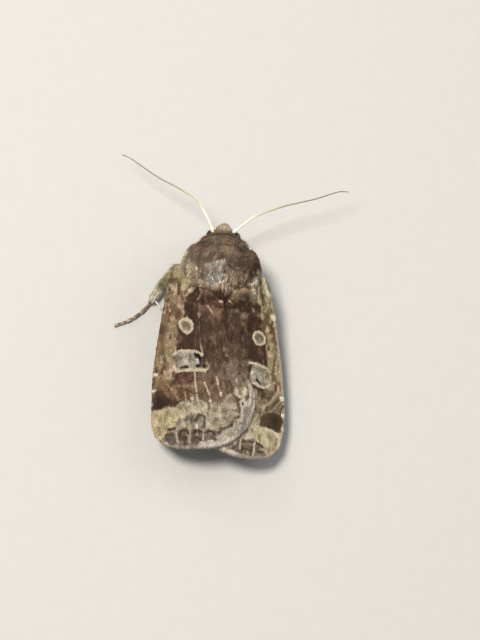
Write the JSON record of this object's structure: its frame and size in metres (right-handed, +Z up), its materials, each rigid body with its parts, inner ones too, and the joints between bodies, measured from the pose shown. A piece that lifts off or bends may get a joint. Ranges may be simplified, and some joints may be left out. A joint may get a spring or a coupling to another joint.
{
  "type": "owlet moth",
  "caption": "Life-size still model of a resting owlet moth, wings folded in a low roof over the body, standing on its feet.",
  "frame": {"origin": "on the floor, under the middle of the whole moth's bounding box, feelers and feet included", "axes": "+Z up from the floor, +Y forward towards the moth's head, +X to the moth's right"},
  "size_m": [0.0202, 0.0278, 0.0058],
  "materials": {
    "thorax_coat": "brown hair-scales with a grey-white patch",
    "head_coat": "tan hair-scales",
    "abdomen_coat": "short pale grey-brown scales",
    "forewing": "matt wing scales, brown with cream and grey markings",
    "hindwing": "thin pale grey-brown wing scales",
    "antenna": "ringed, cream at the base and grey-brown outwards",
    "leg_coat": "cream and brown scales",
    "eye": "dark glossy compound eye",
    "tongue": "horny brown coil"
  },
  "bodies": {
    "root": {"thorax": "thorax_coat", "collar": "thorax_coat", "tegula_left": "thorax_coat", "tegula_right": "thorax_coat", "head": "head_coat", "palp_left": "head_coat", "palp_right": "head_coat", "abdomen": "abdomen_coat", "eye_left": "eye", "eye_right": "eye", "antenna_left": "antenna", "antenna_right": "antenna", "tongue": "tongue", "forewing_left": "forewing", "forewing_right": "forewing", "hindwing_left": "hindwing", "hindwing_right": "hindwing", "fore_leg_left_femur": "leg_coat", "fore_leg_left_tibia": "leg_coat", "fore_leg_left_tarsus": "leg_coat", "fore_leg_right_femur": "leg_coat", "fore_leg_right_tibia": "leg_coat", "fore_leg_right_tarsus": "leg_coat", "mid_leg_left_femur": "leg_coat", "mid_leg_left_tibia": "leg_coat", "mid_leg_left_tarsus": "leg_coat", "mid_leg_right_femur": "leg_coat", "mid_leg_right_tibia": "leg_coat", "mid_leg_right_tarsus": "leg_coat", "hind_leg_left_femur": "leg_coat", "hind_leg_left_tibia": "leg_coat", "hind_leg_left_tarsus": "leg_coat", "hind_leg_right_femur": "leg_coat", "hind_leg_right_tibia": "leg_coat", "hind_leg_right_tarsus": "leg_coat"}
  },
  "joints": []
}
